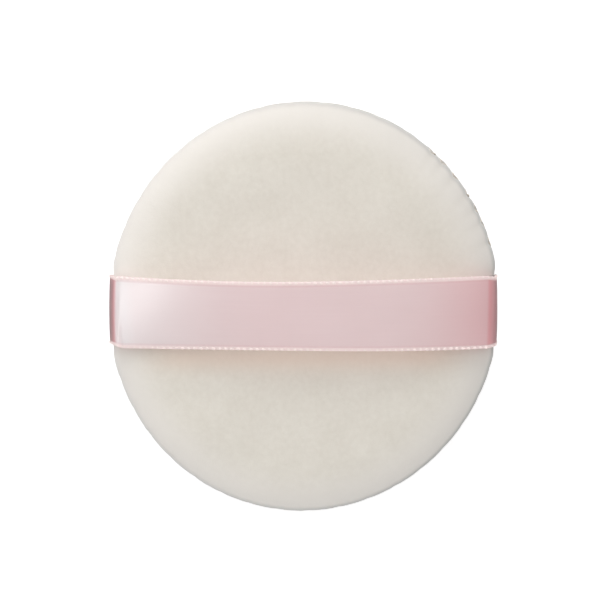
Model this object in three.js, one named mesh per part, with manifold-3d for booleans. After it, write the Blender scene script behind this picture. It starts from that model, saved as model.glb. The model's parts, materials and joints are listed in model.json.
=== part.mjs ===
// Round powder puff: two velour covers sewn together round the rim over a foam disc, with a
// satin ribbon across the back that the fingers slip under.
// Millimetres, +Z up. The powder face lies flat on z = 0 and the ribbon runs along X.
import * as THREE from "three";
import { mergeVertices } from "three/addons/utils/BufferGeometryUtils.js";
import Module from "manifold-3d";

const wasm = await Module();
wasm.setup();

// Driving dimensions: the pad
const padDiameter = 56.2; // of the round pad, before the ribbon draws it in
const padWidth = 53.6; // along the ribbon, over both of its legs
const padThickness = 10.5;
const crownPressed = 0.25; // how far the powder face's crown is pressed flat by the table
const squeezeLean = THREE.MathUtils.degToRad(-6.4); // the squeeze runs this far off the ribbon's line
const edgeFullness = 7; // power of the pad's outline: 2 is an ellipse, more is a blunter edge
const velourThickness = 1.2; // knitted ground and pile together
const rimSoftness = 0.3; // rounds the ends of the stretch of rim that the ribbon presses
const clearance = 0.3; // left between pieces that lie against each other

// Driving dimensions: the rim seam
const foldRadius = 0.8; // the cover's turn from its side into the seam
const seamAllowance = 5; // from the fold to the raw edge
const stitchInset = 1.7; // from the fold to the line of stitches
const stitchCount = 36;
const threadDiameter = 0.3;
const stitchLoopWidth = 0.7; // between a stitch's two legs in its hole
const closingLength = 20; // rim left open to turn the cover and put the foam in, then closed by hand
const closingAngle = THREE.MathUtils.degToRad(34); // where the middle of that opening lies
const closingStitchCount = 7;
const closingStitchHeight = 1.1; // how far a closing stitch reaches across the groove

// Driving dimensions: the ribbon
const ribbonWidth = 10;
const ribbonThickness = 0.3;
const selvedgeWidth = 0.5;
const selvedgeThickness = 0.4;
const fingerGap = 6.2; // from the pad's crown to the ribbon's underside
const ribbonTilt = THREE.MathUtils.degToRad(15); // most that the ribbon leans towards -Y
const ribbonOffset = -0.35; // how far it is sewn off the pad's middle, along Y
const shoulderSlope = THREE.MathUtils.degToRad(25); // of the arch where a shoulder bend starts
const leftShoulder = { radius: 0.8, legLean: THREE.MathUtils.degToRad(9) }; // a sharp fold at -X
const rightShoulder = { radius: 2.2, legLean: THREE.MathUtils.degToRad(3) }; // a round bend at +X
const tailInset = 0.5; // from the seam's raw edge to the ribbon's cut end
const tackInset = 1.1; // from the seam's raw edge to the tack stitches
const tackHoleCount = 4; // across the ribbon's width

const velour = new THREE.MeshStandardMaterial({ color: 0xe6dfd4, roughness: 0.95 });
const foam = new THREE.MeshStandardMaterial({ color: 0xf3ecd8, roughness: 1 });
const satin = new THREE.MeshStandardMaterial({ color: 0xe3bdbe, roughness: 0.38 });
const thread = new THREE.MeshStandardMaterial({ color: 0xf0e9dc, roughness: 0.7 });

// Heights and radii of the round pad, before the ribbon pulls it
const padRadius = padDiameter / 2;
const halfThickness = (padThickness + crownPressed) / 2;
const seamZ = halfThickness - crownPressed;
const seamHalfGap = clearance / 2;
const foldHeight = seamHalfGap + foldRadius; // from the seam's plane to where the side starts
const domeHeight = halfThickness - foldHeight;
const flangeTop = seamHalfGap + velourThickness; // the turned-in edge's free face
const flangeRadius = padRadius - foldRadius - seamAllowance;
const stitchRadius = padRadius - foldRadius - stitchInset;
const runHeight = flangeTop + clearance + threadDiameter / 2; // of a thread lying on the flange
const dipHeight = (clearance + threadDiameter) / 2; // of a thread at the bottom of its hole
const holeWidth = threadDiameter + 2 * clearance;
const holeLength = stitchLoopWidth + holeWidth;

// The ribbon's legs stand outside the pad, so that its rim is pressed back to here
const rimLimit = padWidth / 2 - selvedgeThickness - clearance;
const pullFalloff = 4; // power by which the pull fades from the rim to the middle

const roundSteps = 48;
const domeSteps = 6;
const innerSteps = 4;
const foldSteps = 2;

// Where a point of the round pad goes once the ribbon has drawn the pad in.
function pull(point) {
  const across = point.x * Math.cos(squeezeLean) + point.y * Math.sin(squeezeLean);
  const squeeze = (1 - padWidth / padDiameter) * across;
  const x = point.x - squeeze * Math.cos(squeezeLean);
  const y = point.y - squeeze * Math.sin(squeezeLean);
  const reach = Math.sqrt(Math.max(0, 1 - (y / padRadius) ** 2));
  const rim = (padWidth / 2) * reach;
  const excess = rimSoftness * Math.log1p(Math.exp((rim - rimLimit) / rimSoftness));
  const share = Math.min(1, Math.abs(x) / (padWidth / 2)) ** pullFalloff;
  return new THREE.Vector3(x - Math.sign(x) * excess * share, y, point.z);
}

// A point of the round pad given by its radius, angle and height over the seam, once pulled.
function padPoint(radius, angle, rise) {
  return pull(new THREE.Vector3(radius * Math.cos(angle), radius * Math.sin(angle), seamZ + rise));
}

// A closed solid from a geometry: merged corners, and no triangles without area.
function solidOf(geometry) {
  const bare = geometry.clone();
  bare.deleteAttribute("normal");
  bare.deleteAttribute("uv");
  const merged = mergeVertices(bare, clearance / 1000);
  const corners = merged.index.array;
  const kept = [];
  for (let i = 0; i < corners.length; i += 3) {
    const [a, b, c] = corners.slice(i, i + 3);
    if (a !== b && b !== c && c !== a) kept.push(a, b, c);
  }
  const vertProperties = new Float32Array(merged.attributes.position.array);
  return new wasm.Manifold(
    new wasm.Mesh({ numProp: 3, vertProperties, triVerts: new Uint32Array(kept) }),
  );
}

function geometryOf(solid) {
  const mesh = solid.getMesh();
  return new THREE.BufferGeometry()
    .setAttribute("position", new THREE.BufferAttribute(new Float32Array(mesh.vertProperties), 3))
    .setIndex(new THREE.BufferAttribute(new Uint32Array(mesh.triVerts), 1));
}

function cut(geometry, ...tools) {
  return geometryOf(tools.reduce((left, tool) => left.subtract(tool), solidOf(geometry)));
}

function joined(geometries) {
  return geometries.map(solidOf).reduce((sum, solid) => sum.add(solid));
}

// A body through a row of rings, all with the same number of corners, with flat ends.
function loft(rings, outline) {
  const count = rings[0].length;
  const index = [];
  for (let ring = 0; ring + 1 < rings.length; ring++) {
    const here = ring * count;
    const next = here + count;
    for (let i = 0; i < count; i++) {
      const j = (i + 1) % count;
      index.push(here + i, here + j, next + j, here + i, next + j, next + i);
    }
  }
  const last = (rings.length - 1) * count;
  for (const [a, b, c] of THREE.ShapeUtils.triangulateShape(outline, [])) {
    index.push(c, b, a, last + a, last + b, last + c);
  }
  return new THREE.BufferGeometry().setFromPoints(rings.flat()).setIndex(index);
}

// A thread through a row of points, square in section and mitred at its corners, with one pair of
// its sides turned the way that facing gives at each point.
function threadThrough(points, facing) {
  const half = threadDiameter / 2;
  const outline = [
    new THREE.Vector2(-half, -half),
    new THREE.Vector2(half, -half),
    new THREE.Vector2(half, half),
    new THREE.Vector2(-half, half),
  ];
  const runs = points.slice(1).map((point, i) => point.clone().sub(points[i]).normalize());
  const rings = points.map((point, i) => {
    const before = runs[Math.max(0, i - 1)];
    const after = runs[Math.min(runs.length - 1, i)];
    const along = before.clone().add(after).normalize();
    const mitre = 1 / along.dot(after);
    const toSide = facing(point);
    const side = toSide.addScaledVector(along, -toSide.dot(along)).normalize();
    const above = new THREE.Vector3().crossVectors(along, side).multiplyScalar(mitre);
    return outline.map((corner) =>
      point.clone().addScaledVector(side, corner.x).addScaledVector(above, corner.y),
    );
  });
  return loft(rings, outline);
}

const fromAxis = (point) => new THREE.Vector3(point.x, point.y, 0).normalize();
const alongX = () => new THREE.Vector3(1, 0, 0);

// A dome's outline from the axis out to the rim, as radius and rise over the dome's foot.
function domeOutline(radius, height, footRise, pressed, steps) {
  const first = Math.asin(1 - pressed / height);
  const last = Math.asin(footRise / height);
  const outline = [new THREE.Vector2(0, height - pressed)];
  for (let i = pressed > 0 ? 0 : 1; i <= steps; i++) {
    const angle = first + ((last - first) * i) / steps;
    outline.push(
      new THREE.Vector2(radius * Math.cos(angle) ** (2 / edgeFullness), height * Math.sin(angle)),
    );
  }
  return outline;
}

// Turns an outline of radius and rise over the seam round the axis, then lets the ribbon pull it.
function turned(outline, side) {
  const points = outline.map((p) => new THREE.Vector2(p.x, seamZ + side * p.y));
  const geometry = new THREE.LatheGeometry(side > 0 ? points.reverse() : points, roundSteps);
  geometry.rotateX(Math.PI / 2);
  const position = geometry.attributes.position;
  const point = new THREE.Vector3();
  for (let i = 0; i < position.count; i++) {
    const moved = pull(point.fromBufferAttribute(position, i));
    position.setXYZ(i, moved.x, moved.y, moved.z);
  }
  return geometry;
}

// One velour cover as a shell: side is 1 for the ribbon's side and -1 for the powder face.
function coverShell(side) {
  const pressed = side > 0 ? 0 : crownPressed;
  const lift = (outline, rise) => outline.map((p) => new THREE.Vector2(p.x, p.y + rise));
  const outer = lift(domeOutline(padRadius, domeHeight, 0, pressed, domeSteps), foldHeight);
  const fold = Array.from({ length: foldSteps }, (_, i) => {
    const angle = ((i + 1) / foldSteps) * (Math.PI / 2);
    return new THREE.Vector2(
      padRadius - foldRadius * (1 - Math.cos(angle)),
      foldHeight - foldRadius * Math.sin(angle),
    );
  });
  const flange = [
    new THREE.Vector2(flangeRadius, seamHalfGap),
    new THREE.Vector2(flangeRadius, flangeTop),
  ];
  const inner = lift(
    domeOutline(
      padRadius - velourThickness,
      domeHeight - velourThickness,
      flangeTop - foldHeight,
      pressed,
      innerSteps,
    ),
    foldHeight,
  );
  return turned([...outer, ...fold, ...flange, ...inner.reverse()], side);
}

// The foam disc, grooved round its edge for the turned-in seam and the threads on it.
function foamCore() {
  const radius = padRadius - velourThickness - clearance;
  const height = domeHeight - velourThickness - clearance;
  const grooveRise = runHeight + threadDiameter / 2 + clearance;
  const half = (pressed) => {
    const dome = domeOutline(radius, height, grooveRise - foldHeight, pressed, innerSteps);
    const lifted = dome.map((p) => new THREE.Vector2(p.x, p.y + foldHeight));
    return [...lifted, new THREE.Vector2(flangeRadius - clearance, grooveRise)];
  };
  const lower = half(crownPressed).map((p) => new THREE.Vector2(p.x, -p.y));
  return turned([...half(0), ...lower.reverse()], 1);
}

// The angles of the machine stitches: all round, but for the stretch closed by hand.
const closingSpan = closingLength / padRadius;
const seamStart = closingAngle + closingSpan / 2;
const stitchPitch = (2 * Math.PI - closingSpan) / stitchCount;
const stitchAngles = Array.from({ length: stitchCount }, (_, i) => seamStart + (i + 0.5) * stitchPitch);

// One of the seam's two threads: side is 1 for the needle thread and -1 for the bobbin thread.
// It lies on its flange and dips into each hole, down to where the two threads lock.
function seamThread(side) {
  const legAngle = stitchLoopWidth / 2 / stitchRadius;
  const at = (angle, rise) => padPoint(stitchRadius, angle, side * rise);
  const points = stitchAngles.flatMap((angle) => [
    at(angle - stitchPitch / 2, runHeight),
    at(angle - legAngle, runHeight),
    at(angle - legAngle, dipHeight),
    at(angle + legAngle, dipHeight),
    at(angle + legAngle, runHeight),
  ]);
  const threadEnd = at(stitchAngles.at(-1) + stitchPitch / 2, runHeight);
  return threadThrough([...points, threadEnd], fromAxis);
}

// The needle's holes, through both flanges and the ribbon's tails.
function stitchHoles() {
  const height = 2 * (flangeTop + clearance);
  return joined(
    stitchAngles.map((angle) => {
      const centre = padPoint(stitchRadius, angle, 0);
      const hole = new THREE.BoxGeometry(holeWidth, holeLength, height);
      hole.rotateZ(Math.atan2(centre.y, centre.x));
      return hole.translate(centre.x, centre.y, centre.z);
    }),
  );
}

// The hand stitches that close the turning gap: a zigzag over the groove between the covers.
function closingThread() {
  const middle = padRadius + (threadDiameter + clearance) / 2;
  const turns = 2 * closingStitchCount;
  const span = closingSpan - (holeLength + clearance) / stitchRadius;
  const points = Array.from({ length: turns + 1 }, (_, i) => {
    const angle = closingAngle + span * (i / turns - 0.5);
    const swing = i % 2 ? 1 : -1;
    return padPoint(middle, angle, (swing * closingStitchHeight) / 2);
  });
  return threadThrough(points, fromAxis);
}

// Where the ribbon meets the pad, on the side of +X
const alongRibbon = (radius) => padPoint(radius, 0, 0).x;
const legX = padWidth / 2 - selvedgeThickness / 2;
const tailEnd = alongRibbon(flangeRadius) + tailInset;
const tackX = alongRibbon(flangeRadius) + tackInset;
const tackPitch = (ribbonWidth - 2 * selvedgeWidth) / tackHoleCount;
const tackPlaces = Array.from(
  { length: tackHoleCount },
  (_, i) => ribbonOffset + (i + 0.5 - tackHoleCount / 2) * tackPitch,
);

// The slot between the covers that a tail lies in. end is 1 for +X and -1 for -X.
function tailPocket(end) {
  const inner = tailEnd - clearance;
  const outer = padWidth / 2 + clearance;
  const pocket = new THREE.BoxGeometry(
    outer - inner,
    ribbonWidth + 2 * clearance,
    ribbonThickness + 2 * clearance,
  );
  return solidOf(pocket.translate((end * (outer + inner)) / 2, ribbonOffset, seamZ));
}

// The holes of one tail's tack stitches.
function tackHoles(end) {
  const height = 2 * (flangeTop + clearance);
  return joined(
    tackPlaces.map((y) =>
      new THREE.BoxGeometry(holeWidth, holeWidth, height).translate(end * tackX, y, seamZ),
    ),
  );
}

// The tack: a thread that runs up and down through the flanges and the tail between them.
function tackStitches(end) {
  const at = (y, side) => new THREE.Vector3(end * tackX, y, seamZ + side * runHeight);
  const points = tackPlaces.flatMap((y, i) => {
    const side = i % 2 ? 1 : -1;
    return [at(y, side), at(y, -side)];
  });
  const threadStart = at(tackPlaces[0] - tackPitch / 2, -1);
  return threadThrough([threadStart, ...points], alongX);
}

// A ribbon's cut end, flat between the covers from the leg's foot to the tack.
function ribbonTail(end, holes) {
  const outer = padWidth / 2;
  const plate = new THREE.BoxGeometry(outer - tailEnd, ribbonWidth, ribbonThickness);
  return cut(plate.translate((end * (outer + tailEnd)) / 2, ribbonOffset, seamZ), ...holes);
}

// One half of the ribbon's line in the XZ plane, from its crown to the seam on the side of +X:
// half the arch, the shoulder bend and the leg, which leans in over the pad. Each station has
// its place and its slope below the horizontal.
function halfLine({ radius, legLean }) {
  const crownZ = padThickness + fingerGap + ribbonThickness / 2;
  const footZ = seamZ + ribbonThickness / 2 + clearance;
  const legSlope = Math.PI / 2 - legLean;
  const bendWidth = radius * (Math.sin(legSlope) - Math.sin(shoulderSlope));
  const bendDrop = radius * (Math.cos(shoulderSlope) - Math.cos(legSlope));
  const archWidth =
    (legX - bendWidth - (crownZ - footZ - bendDrop) * Math.tan(legLean)) /
    (1 - (Math.tan(shoulderSlope) * Math.tan(legLean)) / 2);
  const archDrop = (archWidth * Math.tan(shoulderSlope)) / 2;
  const bendX = archWidth - radius * Math.sin(shoulderSlope);
  const bendZ = crownZ - archDrop - radius * Math.cos(shoulderSlope);
  const archSteps = 14;
  const bendSteps = 5;
  const arch = Array.from({ length: archSteps }, (_, i) => {
    const share = (i + 1) / archSteps;
    return {
      x: archWidth * share,
      z: crownZ - archDrop * share ** 2,
      slope: Math.atan((2 * archDrop * share) / archWidth),
    };
  });
  const bend = Array.from({ length: bendSteps }, (_, i) => {
    const slope = shoulderSlope + ((legSlope - shoulderSlope) * (i + 1)) / bendSteps;
    return { x: bendX + radius * Math.sin(slope), z: bendZ + radius * Math.cos(slope), slope };
  });
  return [...arch, ...bend, { x: legX, z: footZ, slope: legSlope }];
}

// The ribbon's whole line, from the seam at -X over the pad to the seam at +X.
function ribbonLine() {
  const left = halfLine(leftShoulder).map(({ x, z, slope }) => ({ x: -x, z, slope: -slope }));
  const right = halfLine(rightShoulder);
  const crown = { x: 0, z: padThickness + fingerGap + ribbonThickness / 2, slope: 0 };
  return [...left.reverse(), crown, ...right];
}

// The ribbon outside the seam: a thin band with a thicker woven selvedge along each side.
function ribbonBand() {
  const half = ribbonWidth / 2;
  const field = ribbonThickness / 2;
  const edge = selvedgeThickness / 2;
  const side = [
    new THREE.Vector2(half - selvedgeWidth - (edge - field), -field),
    new THREE.Vector2(half - selvedgeWidth, -edge),
    new THREE.Vector2(half, -edge),
  ];
  const lower = [...side.map((p) => new THREE.Vector2(-p.x, p.y)).reverse(), ...side];
  const upper = lower.map((p) => new THREE.Vector2(p.x, -p.y)).reverse();
  const outline = [...lower, ...upper];
  const tiltSkew = 0.6; // below 1, the ribbon leans most on its -X side
  const rings = ribbonLine().map(({ x, z, slope }) => {
    const share = (Math.min(legX, Math.max(-legX, x)) / legX + 1) / 2;
    const tilt = ribbonTilt * Math.sin(Math.PI * share ** tiltSkew);
    const normal = new THREE.Vector3(Math.sin(slope), 0, Math.cos(slope));
    const across = new THREE.Vector3(0, Math.cos(tilt), 0).addScaledVector(normal, Math.sin(tilt));
    const out = normal.clone().multiplyScalar(Math.cos(tilt));
    out.y -= Math.sin(tilt);
    return outline.map((p) =>
      new THREE.Vector3(x, ribbonOffset, z)
        .addScaledVector(across, p.x)
        .addScaledVector(out, p.y),
    );
  });
  return loft(rings, outline);
}

function piece(name, geometry, material) {
  const mesh = new THREE.Mesh(geometry, material);
  mesh.name = name;
  return mesh;
}

function padAssembly() {
  const holes = [stitchHoles(), tackHoles(1), tackHoles(-1)];
  const openings = [...holes, tailPocket(1), tailPocket(-1)];
  return new THREE.Group().add(
    piece("powder_face_cover", cut(coverShell(-1), ...openings), velour),
    piece("ribbon_side_cover", cut(coverShell(1), ...openings), velour),
    piece("foam_core", foamCore(), foam),
    piece("seam_needle_thread", seamThread(1), thread),
    piece("seam_bobbin_thread", seamThread(-1), thread),
    piece("closing_thread", closingThread(), thread),
    piece("left_ribbon_tail", ribbonTail(-1, holes), satin),
    piece("right_ribbon_tail", ribbonTail(1, holes), satin),
    piece("left_tack_stitches", tackStitches(-1), thread),
    piece("right_tack_stitches", tackStitches(1), thread),
  );
}

const puff = new THREE.Group();
puff.add(padAssembly(), piece("ribbon_band", ribbonBand(), satin));
export default puff;
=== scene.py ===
"""Dresses the round powder puff: velour covers over foam, sewn at the rim, and a satin ribbon.

Metres, +Z up. The powder face lies on z = 0 and the ribbon runs along X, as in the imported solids.
"""

from __future__ import annotations

import json
import logging
import math
from dataclasses import dataclass
from enum import Enum
from typing import Mapping, Sequence

import bpy
import numpy as np
from mathutils import Matrix, Vector

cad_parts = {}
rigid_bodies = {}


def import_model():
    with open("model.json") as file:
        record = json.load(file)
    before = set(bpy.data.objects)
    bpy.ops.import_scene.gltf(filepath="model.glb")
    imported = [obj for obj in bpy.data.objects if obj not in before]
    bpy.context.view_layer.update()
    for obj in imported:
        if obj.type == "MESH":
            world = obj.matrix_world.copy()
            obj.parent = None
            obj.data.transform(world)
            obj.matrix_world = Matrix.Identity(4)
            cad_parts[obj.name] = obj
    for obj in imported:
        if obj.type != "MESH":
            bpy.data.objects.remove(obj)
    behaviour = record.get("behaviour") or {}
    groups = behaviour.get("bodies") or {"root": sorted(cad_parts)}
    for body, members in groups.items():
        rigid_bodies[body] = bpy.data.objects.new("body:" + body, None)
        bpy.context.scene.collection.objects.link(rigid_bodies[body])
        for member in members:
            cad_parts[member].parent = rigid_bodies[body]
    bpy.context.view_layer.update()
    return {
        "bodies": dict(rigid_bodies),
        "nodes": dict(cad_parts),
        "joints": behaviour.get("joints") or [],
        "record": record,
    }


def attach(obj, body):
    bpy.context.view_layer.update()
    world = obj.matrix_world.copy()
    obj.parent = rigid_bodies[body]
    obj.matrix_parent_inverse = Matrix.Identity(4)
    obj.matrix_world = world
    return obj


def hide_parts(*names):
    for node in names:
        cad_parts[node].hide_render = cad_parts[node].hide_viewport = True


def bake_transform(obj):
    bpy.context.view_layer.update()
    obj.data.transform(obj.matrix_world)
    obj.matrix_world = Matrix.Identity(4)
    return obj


LOG = logging.getLogger("powder_puff")
MM = 0.001

Colour = tuple[float, float, float]
Settings = Mapping[str, object]
Inputs = Mapping[str | int, object]


def opaque(colour: Colour) -> tuple[float, float, float, float]:
    """Gives a linear colour the alpha that sockets want."""
    return (*colour, 1.0)


class Side(Enum):
    """Which side of the rim seam a cover is on, as the sign of its height over the seam."""

    RIBBON = 1
    POWDER = -1


class Wire:
    """A node's output that takes part in Python expressions, which add Math nodes."""

    def __init__(self, bench: "NodeBench", socket: bpy.types.NodeSocket) -> None:
        """Wraps an output socket of a bench's tree."""
        self.bench = bench
        self.socket = socket

    def _math(self, operation: str, first: "Operand", second: "Operand") -> "Wire":
        """Adds a Math node on two operands."""
        return self.bench.out("ShaderNodeMath", {"operation": operation}, {0: first, 1: second})

    def __add__(self, other: "Operand") -> "Wire":
        """Adds."""
        return self._math("ADD", self, other)

    __radd__ = __add__

    def __sub__(self, other: "Operand") -> "Wire":
        """Subtracts."""
        return self._math("SUBTRACT", self, other)

    def __rsub__(self, other: "Operand") -> "Wire":
        """Is subtracted from a number."""
        return self._math("SUBTRACT", other, self)

    def __mul__(self, other: "Operand") -> "Wire":
        """Multiplies."""
        return self._math("MULTIPLY", self, other)

    __rmul__ = __mul__

    def __rtruediv__(self, other: "Operand") -> "Wire":
        """Divides a number."""
        return self._math("DIVIDE", other, self)

    def sine(self) -> "Wire":
        """The sine of the value."""
        return self._math("SINE", self, 0.0)

    def size(self) -> "Wire":
        """The value without its sign."""
        return self._math("ABSOLUTE", self, 0.0)

    def eased(self, low: float, high: float) -> "Wire":
        """Rises smoothly from 0 at low to 1 at high.

        Args:
            low: the value that gives 0.
            high: the value that gives 1.

        Returns:
            The eased share.
        """
        settings = {"interpolation_type": "SMOOTHSTEP"}
        inputs = {"Value": self, "From Min": low, "From Max": high}
        return self.bench.out("ShaderNodeMapRange", settings, inputs)


Operand = Wire | float


class NodeBench:
    """Builds nodes in one tree."""

    def __init__(self, tree: bpy.types.NodeTree) -> None:
        """Works on a shader or a geometry tree."""
        self.tree = tree

    def node(
        self, kind: str, settings: Settings | None = None, inputs: Inputs | None = None
    ) -> bpy.types.Node:
        """Adds one node.

        Args:
            kind: the node's type.
            settings: its properties, set first.
            inputs: values or wires for its sockets, by name or number.

        Returns:
            The node.
        """
        made = self.tree.nodes.new(kind)
        for name, value in (settings or {}).items():
            setattr(made, name, value)
        for key, value in (inputs or {}).items():
            if isinstance(value, Wire):
                self.tree.links.new(value.socket, made.inputs[key])
            else:
                made.inputs[key].default_value = value
        return made

    def out(
        self,
        kind: str,
        settings: Settings | None = None,
        inputs: Inputs | None = None,
        output: str | int = 0,
    ) -> Wire:
        """Adds one node, as node() does, and gives the output of that name or number."""
        return self.wires(self.node(kind, settings, inputs), output)[0]

    def wires(self, node: bpy.types.Node, *outputs: str | int) -> list[Wire]:
        """Outputs of one node, by name or number, as wires."""
        return [Wire(self, node.outputs[output]) for output in outputs]

    def vector(
        self, operation: str, first: object, second: object, output: str = "Vector"
    ) -> Wire:
        """Adds a Vector Math node with two vectors, and gives its vector or its value."""
        inputs = {0: first, 1: second}
        return self.out("ShaderNodeVectorMath", {"operation": operation}, inputs, output)

    def scaled(self, vector: Wire, amount: Operand) -> Wire:
        """A vector times a number."""
        inputs = {0: vector, "Scale": amount}
        return self.out("ShaderNodeVectorMath", {"operation": "SCALE"}, inputs)

    def noise(self, place: Wire, grain: Operand, detail: float = 2.0, seed: float = 0.0) -> Wire:
        """Smooth noise about 0.5, whose blobs measure a grain, with finer layers as detail."""
        inputs = {"Vector": place, "W": seed, "Scale": 1.0 / grain, "Detail": detail}
        return self.out("ShaderNodeTexNoise", {"noise_dimensions": "4D"}, inputs)


class MaterialBench(NodeBench):
    """Builds one material around a Principled shader."""

    # A Mix node's colour sockets have no names of their own, so they go by number.
    MIX_A = 6
    MIX_B = 7
    MIX_RESULT = 2

    def __init__(self, name: str) -> None:
        """Starts an empty material.

        Args:
            name: the material's name.
        """
        self.material = bpy.data.materials.new(name)
        self.material.use_nodes = True
        super().__init__(self.material.node_tree)
        self.tree.nodes.clear()

    def place(self) -> Wire:
        """Object coordinates, which are the row frame's metres."""
        return self.out("ShaderNodeTexCoord", output="Object")

    def kept(self, name: str) -> Wire:
        """An attribute that keep_values has stored on a mesh."""
        return self.out("ShaderNodeAttribute", {"attribute_name": name}, output="Fac")

    def mixed(self, share: Operand, first: Wire | Colour, second: Wire | Colour) -> Wire:
        """Mixes two colours.

        Args:
            share: how much of the second.
            first: a colour or a wire.
            second: a colour or a wire.

        Returns:
            The mixed colour.
        """
        settings = {"data_type": "RGBA", "clamp_factor": True}
        first, second = (end if isinstance(end, Wire) else opaque(end) for end in (first, second))
        inputs = {0: share, self.MIX_A: first, self.MIX_B: second}
        return self.out("ShaderNodeMix", settings, inputs, self.MIX_RESULT)

    def bump(self, height: Wire, depth: float) -> Wire:
        """A normal bent by a relief, where a height of 1 measures the depth."""
        return self.out("ShaderNodeBump", inputs={"Height": height, "Distance": depth})

    def finished(self, inputs: Inputs, through: float = 0.0) -> bpy.types.Material:
        """Closes the material with a Principled shader.

        Args:
            inputs: the shader's values and wires.
            through: the share of the light that passes through each side of a thin cloth, in
                its base colour.

        Returns:
            The material.
        """
        shader = self.out("ShaderNodeBsdfPrincipled", inputs=inputs)
        if through:
            cloth = self.out("ShaderNodeBsdfTranslucent", inputs={"Color": inputs["Base Color"]})
            shader = self.out("ShaderNodeMixShader", inputs={0: through, 1: shader, 2: cloth})
        self.node("ShaderNodeOutputMaterial", inputs={"Surface": shader})
        return self.material


@dataclass(frozen=True)
class Velour:
    """Short upright pile, ivory, that shows soft patches where it leans."""

    light: Colour = (0.762, 0.725, 0.655)
    dark: Colour = (0.678, 0.635, 0.563)
    ground: Colour = (0.62, 0.57, 0.50)
    # Painted sheen: paler pile towards the rim.
    rim: Colour = (0.805, 0.765, 0.715)
    # Painted pink bounce light in the ribbon's shadow.
    bounce_pink: Colour = (0.855, 0.685, 0.565)
    # Painted shade just over the seam.
    pressed: Colour = (0.36, 0.355, 0.33)
    roughness: float = 0.92
    sheen: float = 1.0
    fibre: float = 0.16 * MM
    tuft: float = 0.75 * MM
    lay: float = 4.5 * MM
    fibre_shade: float = 0.38
    tuft_shade: float = 1.05
    lay_shade: float = 0.9
    fibre_roughens: float = 0.06
    fibre_relief: float = 0.6
    tuft_relief: float = 0.4
    relief: float = 0.05 * MM

    def material(self) -> bpy.types.Material:
        """Makes the velour's material.

        It reads four attributes: pile is 1 on the pile and 0 on its ground, fanned is a painted
        sheen that pales the pile where the cover turns over the rim, pressed is a painted shade
        just over the seam, darkest on the side away from the lights, and warmed is a painted pink
        bounce light in the ribbon's shadow along its low edge.

        Returns:
            The material.
        """
        bench = MaterialBench("velour")
        place = bench.place()
        fibre = bench.noise(place, self.fibre, detail=1.0)
        tuft = bench.noise(place, self.tuft, seed=3.0)
        lay = bench.noise(place, self.lay, detail=1.0, seed=7.0)
        shade = 0.5 + self.fibre_shade * (fibre - 0.5)
        shade = shade + self.tuft_shade * (tuft - 0.5) + self.lay_shade * (lay - 0.5)
        colour = bench.mixed(shade, self.dark, self.light)
        # Painted light over the pile: a sheen towards the rim, a pink bounce in the ribbon's shadow
        # and shade just over the seam.
        tones = (("fanned", self.rim), ("warmed", self.bounce_pink), ("pressed", self.pressed))
        for name, tone in tones:
            colour = bench.mixed(bench.kept(name), colour, tone)
        relief = self.fibre_relief * fibre + self.tuft_relief * tuft
        return bench.finished(
            {
                "Base Color": bench.mixed(bench.kept("pile"), self.ground, colour),
                "Roughness": self.roughness + self.fibre_roughens * (fibre - 0.5),
                "Normal": bench.bump(relief, self.relief),
                "Specular IOR Level": 0.1,
                "Sheen Weight": self.sheen,
                "Sheen Roughness": 0.5,
            }
        )


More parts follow.
